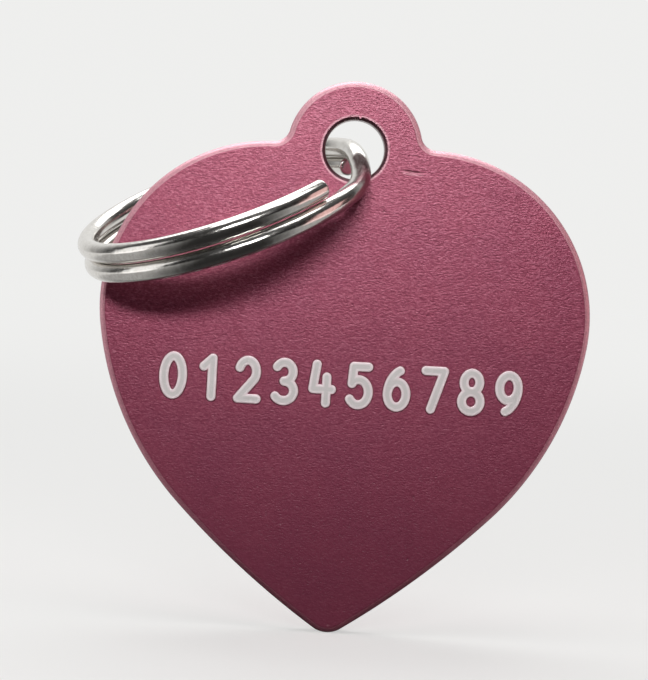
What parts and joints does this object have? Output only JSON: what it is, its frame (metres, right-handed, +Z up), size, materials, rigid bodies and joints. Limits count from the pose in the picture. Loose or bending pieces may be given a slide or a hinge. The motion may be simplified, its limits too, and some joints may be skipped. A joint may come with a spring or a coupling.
{
  "type": "pet id tag",
  "caption": "Heart-shaped pet identification tag of thin anodised metal, with a round ear, a hanging hole and a split ring that swings in the hole.",
  "frame": {"origin": "on the plate's flat back, in the middle of the heart's widest line", "axes": "+Z up from the tip to the ear, +Y out of the plate's back, +X to the right as seen from the front"},
  "size_m": [0.0263, 0.0152, 0.0281],
  "materials": {
    "anodised_plate": "satin pink anodising",
    "plated_wire": "bright nickel plating"
  },
  "bodies": {
    "tag": {"tag_plate": "anodised_plate"},
    "ring": {"split_ring": "plated_wire"}
  },
  "joints": [
    {"name": "ring_swing", "type": "hinge", "parent": "tag", "child": "ring", "pos_m": [0, -0.0006, 0.0083], "axis": [0, 1, 0], "range_deg": [0, 228.5]}
  ]
}
